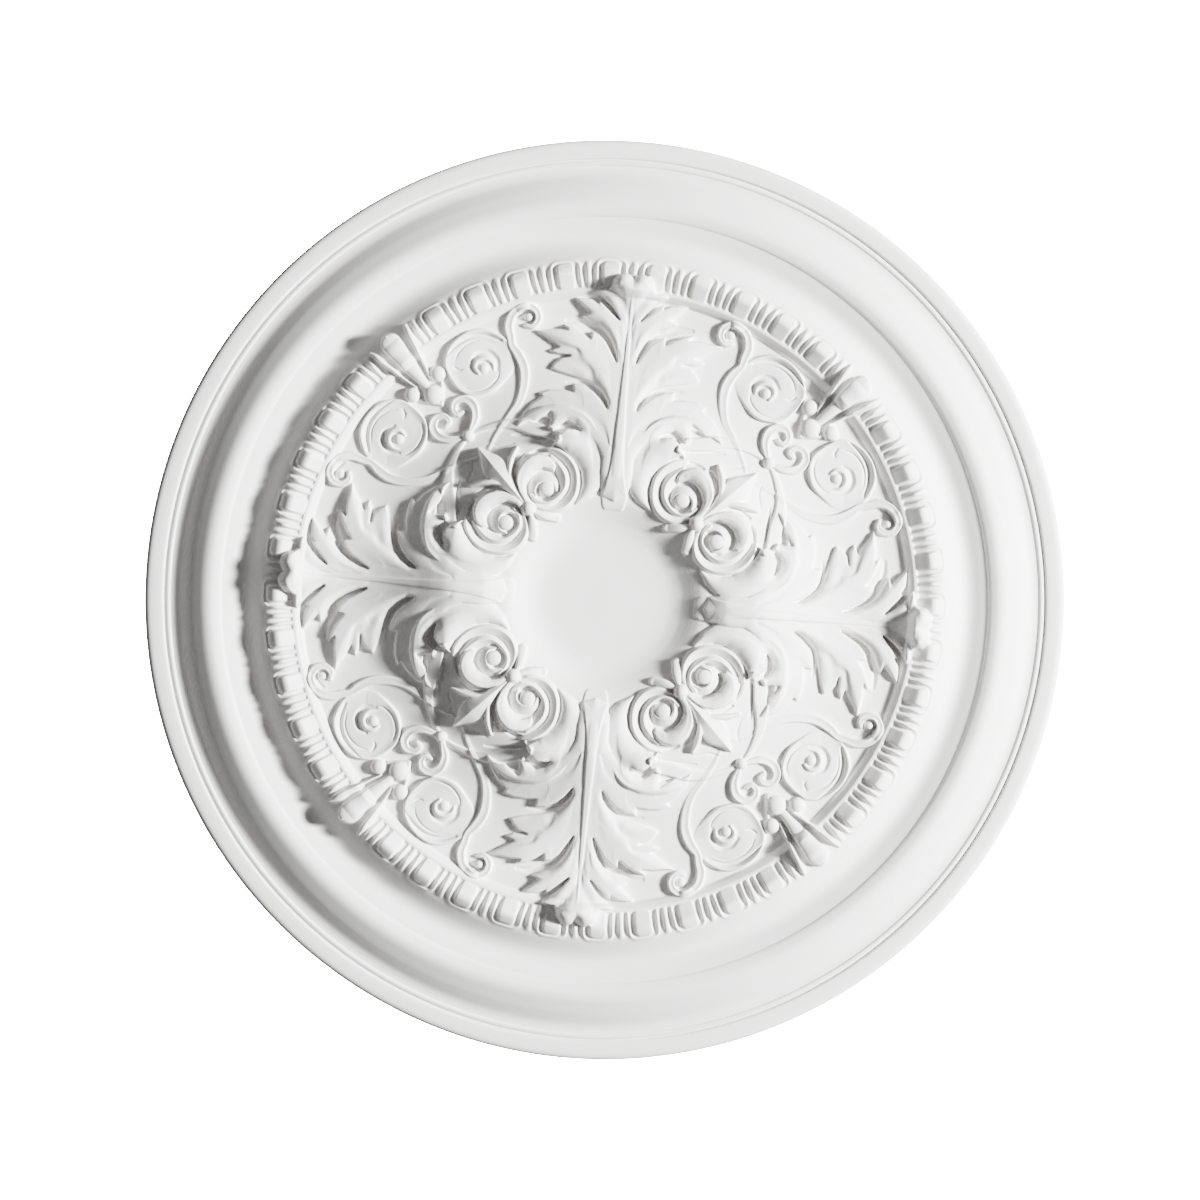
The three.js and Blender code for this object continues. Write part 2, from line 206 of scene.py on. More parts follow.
class Relief:
    """Heights over one eighth of the rose. Strokes are laid over each other and the highest shows."""

    def __init__(self, radius, turn):
        self.frames = {
            "leaf": (radius * np.sin(turn), radius * np.cos(turn)),
            "diagonal": (radius * np.sin(np.pi / 4 - turn), radius * np.cos(np.pi / 4 - turn)),
        }
        self.radius, self.turn = radius, turn
        self.ground = ground_drop(radius)
        self.height = self.ground.copy()

    def near(self, frame_name, nodes, steps=10):
        """For the points near a curve: distance, side, rise, half width and the ground beneath it."""
        x, y = self.frames[frame_name]
        line = spline(nodes, steps)
        reach = line[:, 3].max() + 2
        mask = (
            (x > line[:, 0].min() - reach) & (x < line[:, 0].max() + reach)
            & (y > line[:, 1].min() - reach) & (y < line[:, 1].max() + reach)
        )
        px, py = x[mask], y[mask]
        best, side, rise, half, base = (np.full(px.shape, v) for v in (1e9, 0.0, 0.0, 1.0, 0.0))
        for a, b in zip(line, line[1:]):
            run = b[:2] - a[:2]
            ox, oy = px - a[0], py - a[1]
            t = np.clip((ox * run[0] + oy * run[1]) / (run @ run + 1e-12), 0, 1)
            d = np.hypot(ox - t * run[0], oy - t * run[1])
            closer = d < best
            best = np.where(closer, d, best)
            side = np.where(closer, np.sign(run[0] * oy - run[1] * ox), side)
            rise = np.where(closer, a[2] + (b[2] - a[2]) * t, rise)
            half = np.where(closer, a[3] + (b[3] - a[3]) * t, half)
            base = np.where(closer, ground_drop(np.hypot(a[0] + run[0] * t, a[1] + run[1] * t)), base)
        return mask, best, side, rise, half, base

    def stroke(self, frame_name, nodes, section="round", wall=1.2, bias=0.0, edge=0.5):
        """Raises a stroke along nodes of [across, outwards, rise, half width].

        wall is how broad its flanks are, bias moves the crest to the left, and edge is the share of the
        rise that is left at its sides.
        """
        mask, d, side, rise, half, base = self.near(frame_name, nodes)
        u = np.clip(d / half, 0, 1.2) * side
        v = np.clip(np.where(u > bias, (u - bias) / (1 - bias), (bias - u) / (1 + bias)), 0, 1)
        if section == "round":
            core = edge + (1 - edge) * np.sqrt(np.clip(1 - v * v, 0, 1))
        elif section == "ridge":
            core = 1 - (1 - edge) * v
        else:
            core = edge + (1 - edge) * v * v
        ground = self.ground[mask]
        new = ground + (base + rise * core - ground) * ease((half - d) / wall)
        self.height[mask] = np.maximum(self.height[mask], np.where(d < half, new, 0))

    def groove(self, frame_name, nodes, wall=None):
        """Cuts a groove along nodes of [across, outwards, depth, half width], or raises a band."""
        mask, d, _, depth, half, _ = self.near(frame_name, nodes)
        self.height[mask] -= np.where(d < half, depth * ease((half - d) / (wall or half)), 0)

    def sink(self, frame_name, nodes, wall):
        """Sinks what is there along nodes of [across, outwards, drop, half width]."""
        mask, d, _, drop, half, _ = self.near(frame_name, nodes)
        height = self.height[mask]
        self.height[mask] = height + (np.minimum(height, drop) - height) * ease((half - d) / wall)

    def blade(self, frame_name, outline, crests, wall=1.4):
        """Raises a blade: it falls from its crest lines to its outline, and ends there in a wall.

        outline is a closed row of [across, outwards, rise], crests are lines of the same.
        """
        x, y = self.frames[frame_name]
        edge = np.array([*outline, outline[0]], float)
        mask = (
            (x > edge[:, 0].min()) & (x < edge[:, 0].max())
            & (y > edge[:, 1].min()) & (y < edge[:, 1].max())
        )
        px, py = x[mask], y[mask]
        inside = np.zeros(px.shape, bool)
        to_edge, edge_rise = np.full(px.shape, 1e9), np.zeros(px.shape)
        for a, b in zip(edge, edge[1:]):
            crosses = (a[1] > py) != (b[1] > py)
            inside ^= crosses & (px < a[0] + (b[0] - a[0]) * (py - a[1]) / (b[1] - a[1] + 1e-12))
            d, rise = distance_to(px, py, a, b)
            edge_rise = np.where(d < to_edge, rise, edge_rise)
            to_edge = np.minimum(to_edge, d)
        to_crest, weight, crest_rise = np.full(px.shape, 1e9), 0, 0
        for crest in crests:
            near, near_rise = np.full(px.shape, 1e9), np.zeros(px.shape)
            line = spline(crest, 6)
            for a, b in zip(line, line[1:]):
                d, rise = distance_to(px, py, a, b)
                near_rise = np.where(d < near, rise, near_rise)
                near = np.minimum(near, d)
            to_crest = np.minimum(to_crest, near)
            share = (near + 1) ** -4.0
            weight, crest_rise = weight + share, crest_rise + share * near_rise
        way = to_crest / (to_crest + to_edge + 1e-9)
        top = self.ground[mask] + edge_rise + (crest_rise / weight - edge_rise) * (1 - way**2)
        height = self.height[mask]
        new = height + (np.maximum(top, height) - height) * ease(to_edge / wall)
        self.height[mask] = np.where(inside, new, height)

    def boss(self, frame_name, x, y, rise, radius, edge=0.3):
        """Raises a round boss."""
        px, py = self.frames[frame_name]
        d = np.hypot(px - x, py - y) / radius
        top = ground_drop(np.hypot(x, y)) + rise * (edge + (1 - edge) * np.sqrt(np.clip(1 - d * d, 0, 1)))
        new = self.ground + (top - self.ground) * ease((1 - d) * radius)
        self.height = np.maximum(self.height, np.where(d < 1, new, 0))


def over_ground(nodes):
    """Nodes with their drop, the third value, turned into a rise over the uncarved face."""
    return [(x, y, drop - ground_drop(math.hypot(x, y)), *rest) for x, y, drop, *rest in nodes]


def carve_leaf(relief):
    """Acanthus leaf: one side of its blade with the slots and teeth, its keel and its curled tip."""
    lower_lobe = [
        (-20, 97, 1), (0, 97, 1), (13, 102, 1), (15, 112, 5), (16, 125, 8.5), (16, 140, 9), (22, 152, 8),
        (34, 166, 8.5), (60, 174, 6), (85, 174, 4.5), (103, 163, 3), (98, 178, 3.5), (90, 189, 4),
        (81, 196, 4.5), (84, 200, 4.5), (74, 204, 5), (62, 205, 5.5), (50, 204, 6), (51, 212, 6),
        (40, 211, 6.5), (30, 206, 7), (22, 199, 8), (15, 190, 10),
    ]
    middle_lobe = [
        (16, 196, 6.5), (22, 205, 4.5), (30, 212.5, 3.5), (40, 216, 3), (52, 218.5, 3), (65, 221.5, 3.5),
        (75, 225, 4), (71, 232, 4.5), (65, 237.5, 5), (57, 239.5, 6), (70, 239.5, 5), (79, 243, 4),
        (74, 245.5, 4.5), (69, 247.5, 5), (77, 252, 4.5), (86, 258, 4), (96, 262, 4), (85, 263.5, 6.5),
        (72, 265.5, 8.5), (61, 265.5, 10), (67, 271, 9), (55, 268.5, 10), (45, 263.5, 10),
        (38, 258.5, 9.5), (37, 266, 9), (30, 264, 9), (22, 257, 8.5), (15, 246, 8.5), (10, 238, 8.5),
    ]
    upper_lobe = [
        (12, 246, 6), (17, 257, 4.5), (24, 266.5, 4), (31, 272, 4), (38, 274.5, 4), (49, 280.5, 4),
        (42, 284, 6), (48, 290, 5.5), (58, 298, 4.5), (48, 299, 6), (40, 298.5, 7), (33, 294.5, 8.5),
        (33, 298.5, 8), (25, 292, 9.5), (17, 285, 10), (11, 280, 10.5),
    ]
    tip = [
        (16, 287.5, 11), (22, 294, 11), (30, 300.5, 9), (37, 305, 6), (33, 307.5, 6), (24, 308.5, 7),
        (21.5, 313, 6), (20.5, 319, 5), (15, 325, 4.5), (9, 326.5, 4.5), (4, 325.5, 4.5), (0, 322.5, 4.5),
        (-20, 322, 4.5),
    ]
    crests = [
        [
            (0, 97, 2), (0, 106, 5), (0, 116, 9), (0, 126, 11.5), (0, 150, 12.5), (0, 172, 12.5),
            (0, 198, 11.5), (0, 228, 9.5), (0, 258, 8.5), (0, 278, 8.5), (0, 290, 12.5), (0, 300, 17.5),
            (0, 309, 22),
        ],
        [
            (8, 124, 10.5), (9, 150, 11.5), (9, 180, 11.5), (10, 200, 11), (9, 225, 9.4), (8, 250, 9),
            (7, 275, 10.6),
        ],
        [
            (9, 152, 10.5), (17, 163, 10), (32, 172, 9.3), (50, 176, 8.4), (68, 176, 7), (86, 171, 5),
            (101, 163, 3.5),
        ],
        [
            (7, 188, 11.5), (17, 212, 10.5), (30, 234, 10), (45, 248, 10.5), (60, 256, 10.5),
            (75, 260.5, 8.5), (95, 262, 4.5),
        ],
        [(40, 224, 7.5), (55, 229, 6.5), (74, 225.5, 4.5)],
        [(52, 244, 8), (65, 243.5, 6.5), (78, 243, 4.5)],
        [(5, 240, 9.5), (12, 262, 10.5), (22, 277, 11), (35, 287, 10), (47, 293, 8), (57, 297.5, 5)],
        [(4, 272, 9.5), (9, 287, 12), (17, 298, 14.5), (27, 304, 11.5), (36, 305, 7)],
        [(0, 309, 22), (5, 311.5, 22), (10, 313.5, 21), (15, 313, 19), (19.5, 310.5, 12)],
    ]
    relief.blade("leaf", [*lower_lobe, *middle_lobe, *upper_lobe, *tip], crests)
    upper_slot = [
        (12, 243, 1, 1.2), (19, 258, 2.5, 2.4), (28, 268, 2.5, 3), (38, 270, 2.5, 4), (50, 275, 2.5, 4),
        (63, 275, 1.5, 3),
    ]
    relief.groove("leaf", upper_slot)
    lower_slot = [(14, 191, 1, 1), (22, 202, 2, 1.8), (32, 211, 2, 2), (44, 214, 2, 2.2), (57, 213, 1, 2)]
    relief.groove("leaf", lower_slot)
    keel = [
        (0, 97, -1.3, 12), (0, 104, -1.3, 13), (0, 112, -1.3, 10.5), (0, 130, -1.3, 7.2),
        (0, 150, -1.3, 5.6), (0, 172, -1.3, 4.6), (0, 198, -1.3, 3.7), (0, 228, -1.3, 2.9),
        (0, 258, -1.2, 2.3), (0, 285, -1, 1.8), (0, 303, -0.4, 1.4),
    ]
    relief.groove("leaf", keel, wall=0.9)


def carve_bowl(relief):
    """Leaf that rolls up beside the volute, with its rim beyond the gap."""
    outer = [
        (52, 88, 64.8), (36, 91, 65), (23, 98, 66), (15, 108, 68), (11, 120, 71), (11, 132, 72.5),
        (11, 148, 70.5), (18, 163, 64), (27, 176, 58.5), (38, 185, 55), (52, 190, 52), (66, 190.5, 50.5),
        (80, 187, 50), (92, 180, 50), (101, 170.5, 48.5),
    ]
    gap = [
        (92, 169.5, 53), (84, 170, 54.6), (77.5, 175, 54.7), (71, 180, 55), (70.5, 172, 57),
        (71.5, 164.5, 58.6), (66, 160.5, 59.8), (59.5, 169, 60), (53, 172.8, 60), (46, 171.3, 61.5),
        (40, 165.5, 64), (46, 166.3, 68), (53, 166.3, 69), (58, 162.5, 69.5), (62, 156, 70),
        (66, 149, 70), (68, 143, 70),
    ]
    inner = [
        (63, 148.5, 69), (54, 143.5, 68), (43, 134, 67.5), (35.5, 124, 67.5), (33, 112, 67.5),
        (35, 100, 67), (40, 90, 65.5),
    ]
    gap_end = [
        (42, 166.5, 60, 1.5), (48, 169, 57, 3), (54, 169, 57, 3.2), (60, 163.5, 58, 3),
        (64, 157, 60, 2.5),
    ]
    relief.sink("leaf", gap_end, wall=2.2)
    inner_crest = [
        (35, 94, 68.5), (27, 104.5, 71), (23.6, 116.5, 72.8), (24.2, 128.5, 73.6), (29, 140.5, 74),
        (37, 150.5, 74), (45, 155.5, 73.6), (54, 155.5, 72.8), (62, 150.5, 71.5),
    ]
    outer_crest = [
        (24.2, 128.5, 73.6), (22, 140, 73), (20.5, 151, 71.5), (22, 161, 70), (26.5, 171, 67.5),
        (36, 180, 65), (50, 184, 61.5), (68, 184, 58), (84, 180.5, 55), (98, 172.5, 50.5),
    ]
    crests = [over_ground(inner_crest), over_ground(outer_crest)]
    relief.blade("leaf", over_ground([*outer, *gap, *inner]), crests)


def carve_volute(relief):
    """Volute of one spiral ridge in an outer ring, with its hooded calyx and foot petal."""
    stroke, groove = relief.stroke, relief.groove
    outer_ring = [
        (53.5, 150, 67, 2.5), (58.5, 141.5, 70.5, 4.2), (61, 130, 71.8, 4.6), (58.9, 118, 72, 5),
        (52.3, 108, 72, 5.2), (42.5, 100.2, 71.8, 5.4), (31, 97.6, 71.5, 5.4), (20.5, 100.6, 71.3, 5),
        (13, 107.5, 71, 4.4), (9, 115, 70.5, 3),
    ]
    stroke("diagonal", over_ground(outer_ring), "ridge", bias=0.35, edge=0.3, wall=1)
    inner_ring = [
        (49.5, 143, 68, 2.5), (49.5, 131, 71.3, 4.8), (47.5, 121, 72.3, 6), (42, 113.6, 72.6, 6),
        (34.5, 110, 72.6, 5.4), (25.3, 109.3, 72.5, 5), (17.8, 112, 72.5, 4.6), (13, 118.5, 72.8, 4.4),
        (12.3, 126, 73, 4.2),
    ]
    stroke("diagonal", over_ground(inner_ring), "ridge", bias=0.3, edge=0.15, wall=1)
    channel = [
        (38, 123, 66, 3), (35.5, 114.5, 64.5, 3.4), (27.5, 112.3, 63.5, 3.2), (20, 113.6, 63, 3.2),
        (17.2, 118.5, 63, 3.2), (17.4, 124, 63.5, 2.8), (21, 128, 64.5, 2),
    ]
    relief.sink("diagonal", channel, wall=2)
    innermost_turn = [
        (12.3, 124, 73, 3.6), (15.5, 129.5, 73.3, 4.6), (22, 133, 73.6, 5.8), (30, 131.5, 73.6, 6),
        (35.5, 126, 73.2, 5), (36.5, 119.5, 72.8, 3.6), (33, 113.5, 72.4, 2),
    ]
    stroke("diagonal", over_ground(innermost_turn), "ridge", bias=-0.5, edge=0.1)
    eye_groove = [
        (18, 124, 1, 1.2), (21, 127.6, 2.4, 1.5), (26, 127.6, 2.4, 1.5), (30, 124, 2.4, 1.5),
        (30.5, 119.5, 1.2, 1.2),
    ]
    groove("diagonal", eye_groove)
    relief.boss("diagonal", x=26.5, y=121.5, rise=9.6, radius=8, edge=0.6)
    hood = [
        (0, 124, 74), (3, 137, 71), (7, 146, 70), (13, 153, 69.5), (24, 158, 69), (34, 158.5, 69),
        (42, 154.5, 69), (48, 146, 69.5), (49.5, 138, 70), (47.5, 132, 70), (42.3, 128.5, 69.5),
        (41.3, 132, 70), (37, 139, 71), (29, 141.5, 71.5), (20, 140, 72), (12, 136, 72.5), (8, 129, 73),
        (7, 121, 73.5),
    ]
    hood_crest = [
        (3, 127, 75.5), (5, 138, 76), (11.5, 148, 76), (23, 154, 75.5), (34, 154, 75), (42, 149, 74),
        (46.3, 141, 73), (46, 134, 71.5),
    ]
    relief.blade("diagonal", over_ground(hood), [over_ground(hood_crest)], wall=1.1)
    hood_slot = [(37, 158, 3, 2.6), (44, 155.5, 5, 2.8), (51, 150.5, 4, 2)]
    groove("diagonal", hood_slot)
    calyx = [(4, 150, 8, 2), (9, 158, 10, 3.2), (18, 166, 11, 3.6), (30, 172, 9, 1.5)]
    stroke("diagonal", calyx, edge=0.45)
    calyx_slot = [(3, 144, 1, 1.2), (8.5, 153.5, 3.5, 1.6), (17, 160, 3.5, 1.6), (30, 162, 3, 2)]
    groove("diagonal", calyx_slot)
    foot_petal = [(2, 112, 8, 3), (7, 103, 7, 5), (15, 93, 4, 5)]
    stroke("diagonal", foot_petal, wall=1.5, edge=0.4)


def carve_stem(relief):
    """Thin S-shaped stem with its small curl, and the ribbon that crosses it."""
    stem = [
        (8, 189, 1.5, 2), (22, 195, 1.5, 2.5), (42, 201, 1.8, 3.2), (60, 206, 2.2, 4),
        (75, 216, 3.2, 4.8), (86, 229, 4.4, 5.2), (90.5, 243, 5, 5), (91.5, 254, 5, 4), (96, 262, 5, 4.4),
        (101, 271, 6, 4.8), (110, 277.5, 7, 4.4), (120, 278, 7.6, 4), (129, 274, 7.8, 4),
        (132.5, 265, 7.8, 4), (128, 257.5, 7.4, 3.8), (120, 256, 7, 3.4), (115, 261, 6, 2.4),
    ]
    relief.stroke("diagonal", stem, "scoop", edge=0.72)
    curl_slot = [(113, 272, 2, 2), (120, 271.5, 3.5, 2.6), (127, 269, 3, 2.2)]
    relief.groove("diagonal", curl_slot)
    relief.boss("diagonal", x=122.5, y=265.5, rise=5, radius=4.6)
    ribbon = [
        (1, 213, -2, 2.5), (18, 207.5, -2.6, 3.2), (34, 199, -3, 4.4), (46.5, 188, -3.8, 6.4),
        (56, 174, -4.4, 7.4), (66, 160, -4.4, 6.5), (66, 152, -4, 4),
    ]
    relief.groove("diagonal", ribbon, wall=1.3)
    ribbon_slot = [(35, 184, 1.5, 1.4), (43.5, 176, 3, 2.6), (52, 166.5, 3, 2.6), (58.5, 159, 2, 1.6)]
    relief.groove("diagonal", ribbon_slot)
    stem_foot_slot = [(12, 193, 0.8, 1.2), (18, 184, 1.6, 2), (30, 177, 0.8, 1.2)]
    relief.groove("diagonal", stem_foot_slot)


def carve_scrolls(relief):
    """C-shaped scroll, heart, beads and bracket between the stems."""
    stroke, groove = relief.stroke, relief.groove
    plateau_outline = [
        (22, 268, 7), (27, 283, 7), (38, 292, 7), (52, 295.5, 7), (68, 293.5, 6.5), (82, 285, 6),
        (90, 270, 5), (91.5, 257, 3), (87, 243, 1), (77, 234, 0.4), (62, 231, 2.4), (45, 231, 5.5),
        (30, 239, 6.5), (22, 252, 7), (22, 268, 7),
    ]
    # The outline comes back to its first node, which blade() adds itself
    plateau = spline(plateau_outline, 5)[:-1]
    outer_crest = [
        (60, 240, 3), (46, 243, 4), (35, 249, 4.2), (30.5, 260, 4), (33, 273, 4), (41, 281, 4),
        (53, 284, 3.6), (66, 281.5, 3), (76, 274, 2.4), (82, 262, 2),
    ]
    inner_crest = [(48, 255, 4), (60, 262, 3.4), (70, 262, 2.6)]
    relief.blade("diagonal", plateau, [outer_crest, inner_crest], wall=1.2)
    outer_channel = [
        (33, 288, 0.8, 1), (42, 289.3, 2.4, 1.6), (54, 289.8, 3.2, 2.6), (67, 286.8, 3.6, 3.4),
        (78.5, 278, 3.4, 3.4), (86.5, 265, 2, 1.8),
    ]
    groove("diagonal", outer_channel)
    outer_line = [
        (38, 279, 0.8, 1), (46, 283.2, 1.4, 1.1), (58, 284, 1.6, 1.2), (70, 279.5, 1.4, 1.1),
        (79, 270, 0.8, 1),
    ]
    groove("diagonal", outer_line)
    lower_channel = [
        (28, 252, 0.8, 1), (33, 243.5, 1.8, 1.3), (45, 237.3, 2, 1.4), (58, 238, 1.6, 1.2),
        (66, 243, 0.6, 1),
    ]
    groove("diagonal", lower_channel)
    hollow = [
        (50, 268, 1.5, 2), (60, 270, 2.4, 3.4), (69, 264, 2.6, 4), (70.5, 253, 2.2, 4),
        (64, 244, 1.2, 2.6),
    ]
    groove("diagonal", hollow)
    curl = [
        (61, 246, 3.5, 1.5), (65.5, 253, 5.6, 2.6), (63, 261, 6.6, 3), (55.5, 264.5, 7, 3.2),
        (49, 261, 7, 3), (48, 254, 6.5, 2.4),
    ]
    stroke("diagonal", curl, wall=1.3, edge=0.5)
    relief.boss("diagonal", x=55, y=255, rise=7.5, radius=6)
    notch = [(33, 275, 1.2, 1.4), (34.5, 270, 1.8, 1.8), (38, 267.5, 1, 1.2)]
    groove("diagonal", notch)
    heart = [
        (0, 213, 6, 2), (8, 216.5, 6.5, 3.2), (18, 223, 7, 4.2), (23.5, 233, 7, 4.8), (21, 243, 7, 4.8),
        (13, 247, 7, 4.2), (6, 243, 7, 3.6), (5.5, 236, 7, 3), (11, 234.5, 6, 2.5),
    ]
    stroke("diagonal", heart, "scoop", edge=0.7)
    relief.boss("diagonal", x=16.5, y=280, rise=10, radius=8.2, edge=0.3)
    bracket = [(14, 271, 4, 2), (7, 262, 5, 2.5), (0, 254, 5, 2.5)]
    stroke("diagonal", bracket)
    relief.boss("diagonal", x=0, y=267, rise=11, radius=10.5, edge=0.3)
    relief.boss("diagonal", x=0, y=212.5, rise=8, radius=6)


def carve_palmette(relief):
    """Palmette over the egg band, and the small leaf with its bead between the volutes."""
    stroke = relief.stroke
    side_petal = [
        (8.5, 283, 7, 1.6), (12, 295, 9, 2), (15, 308, 9.5, 2.6), (18, 320, 8.5, 3),
        (20.5, 331, 6.5, 3.2), (22, 337, 4, 2.4),
    ]
    stroke("diagonal", side_petal, wall=1.5, edge=0.5)
    middle_petal = [
        (0, 276, 8, 4.5), (0, 288, 11, 6), (0, 300, 12.5, 8), (0, 312, 11.5, 9.2), (0, 322, 9.5, 10.2),
        (0, 332, 8, 11),
    ]
    stroke("diagonal", middle_petal, wall=1.6, edge=0.5)
    small_leaf = [
        (0, 124, 9, 2), (0, 140, 11, 5), (0, 155, 12.5, 9), (0, 166, 13.5, 12.5), (0, 176, 14, 11.5),
        (0, 186, 12.5, 6), (0, 196, 9, 1),
    ]
    stroke("diagonal", small_leaf, "ridge", wall=1.3, edge=0.6)
    relief.boss("diagonal", x=0, y=118, rise=14, radius=8.2, edge=0.2)


def carve_eggs(relief, pitch):
    """Eggs in their shells with a dart between them, as far as the palmette."""
    radius = relief.radius
    turn = np.degrees(relief.turn)
    place = turn % pitch - pitch / 2
    across = np.abs(np.radians(place)) * radius

    def inside(half, corner, inner_end, outer_end):
        """How far a point lies inside a rounded oblong round the middle of the pitch."""
        middle = (inner_end + outer_end) / 2
        beside = across - (half - corner)
        beyond = np.abs(radius - middle) - (outer_end - middle - corner)
        past_corner = np.hypot(np.maximum(beside, 0), np.maximum(beyond, 0))
        return corner - past_corner - np.minimum(np.maximum(beside, beyond), 0)

    swell = np.clip((radius - SWELL_FROM) / SWELL_OVER, 0, 1)
    fade = ease((radius - FADE_FROM) / FADE_OVER)
    egg_half = EGG[0] + EGG_SPREAD * (radius - EGG_SPREAD_FROM)
    egg = (2.2 + 4.2 * swell) * (1 - 0.66 * fade) * ease(inside(egg_half, *EGG[1:]) / 2.4)
    shell_line = np.abs(inside(*SHELL) - SHELL_INSET)
    shell = (2 + 3.6 * swell) * (1 - 0.76 * fade) * ease(1 - shell_line / SHELL_WALL)
    beside_dart = np.radians(pitch / 2 - np.abs(place)) * radius
    dart_width = 2.0 + 0.02 * np.clip(radius - SWELL_FROM, 0, 40)
    dart_ends = ease((DART_TO - radius) / 3)
    dart = (2 + 3.2 * swell) * (1 - 0.8 * fade) * ease(1.5 - beside_dart / dart_width) * dart_ends
    begins = ease((radius - BAND_FROM) / 2)
    standing = np.maximum(np.maximum(shell, egg), dart) * begins * ease((BAND_TO - radius) / 1.5)
    sunk = BAND_SINK * begins * (1 - fade)
    shown = (turn < PALMETTE_TURN) & (radius > SHOWN_FROM)
    relief.height += np.where(shown, standing - sunk, 0)


def carved_relief(rows, columns, pitch, softness):
    """Radii, turns and drops of one eighth of the carved face, a little softened as a cast is."""
    radii = np.linspace(CARVED_FROM, CARVED_TO, rows)
    turns = np.linspace(0, np.pi / 4, columns)
    relief = Relief(*np.meshgrid(radii, turns, indexing="ij"))
    carve_eggs(relief, pitch)
    for carve in (carve_bowl, carve_leaf, carve_volute, carve_stem, carve_scrolls, carve_palmette):
        carve(relief)
    height = relief.height
    reach = max(1, int(3 * softness / (radii[0] * turns[1])))
    offsets = np.arange(-reach, reach + 1)
    for row, radius in enumerate(radii):
        weights = np.exp(-0.5 * (offsets * radius * turns[1] / softness) ** 2)
        padded = np.pad(height[row], reach, mode="reflect")
        height[row] = np.convolve(padded, weights / weights.sum(), mode="valid")
    step = radii[1] - radii[0]
    reach = max(1, int(3 * softness / step))
    weights = np.exp(-0.5 * (np.arange(-reach, reach + 1) * step / softness) ** 2)
    weights /= weights.sum()
    padded = np.pad(height, ((reach, reach), (0, 0)), mode="edge")
    height = sum(w * padded[i : i + rows] for i, w in enumerate(weights))
    begins = ease((radii - CARVED_FROM) / BLEND_INSIDE)[:, None]
    blend = begins * ease((CARVED_TO - radii) / BLEND_OUTSIDE)[:, None]
    return radii, turns, relief.ground + (height - relief.ground) * blend


# Meshes


def new_object(name, mesh):
    """An object that shows a mesh, in the scene."""
    piece = bpy.data.objects.new(name, mesh)
    bpy.context.collection.objects.link(piece)
    return piece


def mesh_of(name, points, quads):
    """A mesh of points and four-sided faces, from arrays."""
    mesh = bpy.data.meshes.new(name)
    mesh.vertices.add(len(points))
    mesh.vertices.foreach_set("co", points.astype(np.float32).ravel())
    mesh.loops.add(quads.size)
    mesh.loops.foreach_set("vertex_index", quads.astype(np.int32).ravel())
    mesh.polygons.add(len(quads))
    mesh.polygons.foreach_set("loop_start", np.arange(0, quads.size, 4, dtype=np.int32))
    mesh.update(calc_edges=True)
    return mesh


def baked(piece):
    """The object with its modifiers made into a plain mesh."""
    bpy.context.view_layer.update()
    graph = bpy.context.evaluated_depsgraph_get()
    mesh = bpy.data.meshes.new_from_object(piece.evaluated_get(graph), depsgraph=graph)
    piece.modifiers.clear()
    piece.data = mesh
    return mesh


def eighth_mesh(unit, rows, columns, pitch, softness, triangles):
    """One eighth of the carved face as a mesh with most of its faces where the carving is."""
    radii, turns, drops = carved_relief(rows, columns, pitch, softness)
    r, t = np.meshgrid(radii, turns, indexing="ij")
    points = np.stack([r * np.sin(t), r * np.cos(t), -drops], axis=-1).reshape(-1, 3) * unit
    at = np.arange(rows * columns).reshape(rows, columns)
    quads = np.stack([at[:-1, :-1], at[:-1, 1:], at[1:, 1:], at[1:, :-1]], axis=-1).reshape(-1, 4)
    piece = new_object("eighth", mesh_of("eighth", points, quads))
    thin = piece.modifiers.new("thin", "DECIMATE")
    thin.ratio = triangles / (2 * len(quads))
    mesh = baked(piece)
    bpy.data.objects.remove(piece)
    straighten_borders(mesh, unit)
    return mesh


def straighten_borders(mesh, unit):
    """Puts the vertices of the two straight borders exactly on the mirror planes."""
    co = np.empty(3 * len(mesh.vertices), np.float32)
    mesh.vertices.foreach_get("co", co)
    co = co.reshape(-1, 3)
    near = BORDER_REACH * unit
    on_leaf = np.abs(co[:, 0]) < near
    co[on_leaf, 0] = 0
    on_diagonal = np.abs(co[:, 0] - co[:, 1]) < near
    co[on_diagonal, :2] = co[on_diagonal, :2].mean(axis=1, keepdims=True)
    mesh.vertices.foreach_set("co", co.ravel())
    mesh.update()


def close_underneath(mesh, level):
    """Gives a relief straight walls and a flat underside, so that it is a closed body."""
    form = bmesh.new()
    form.from_mesh(mesh)
    border = [edge for edge in form.edges if edge.is_boundary]
    for edge in border:
        edge.smooth = False
    made = bmesh.ops.extrude_edge_only(form, edges=border)["geom"]
    low = [item for item in made if isinstance(item, bmesh.types.BMVert)]
    for vertex in low:
        vertex.co.z = level
    rim = [item for item in made if isinstance(item, bmesh.types.BMEdge) and item.is_boundary]
    bmesh.ops.contextual_create(form, geom=rim)
    bmesh.ops.recalc_face_normals(form, faces=form.faces)
    form.to_mesh(mesh)
    form.free()


# Trees of nodes that make and place the meshes


def new_tree(name, inputs):
    """A geometry tree with named inputs of (name, socket type, default)."""
    tree = bpy.data.node_groups.new(name, "GeometryNodeTree")
    face = tree.interface
    face.new_socket("Geometry", in_out="INPUT", socket_type="NodeSocketGeometry")
    for socket_name, kind, default in inputs:
        socket = face.new_socket(socket_name, in_out="INPUT", socket_type=kind)
        if default is not None:
            socket.default_value = default
    face.new_socket("Geometry", in_out="OUTPUT", socket_type="NodeSocketGeometry")
    tree.is_modifier = True
    return tree


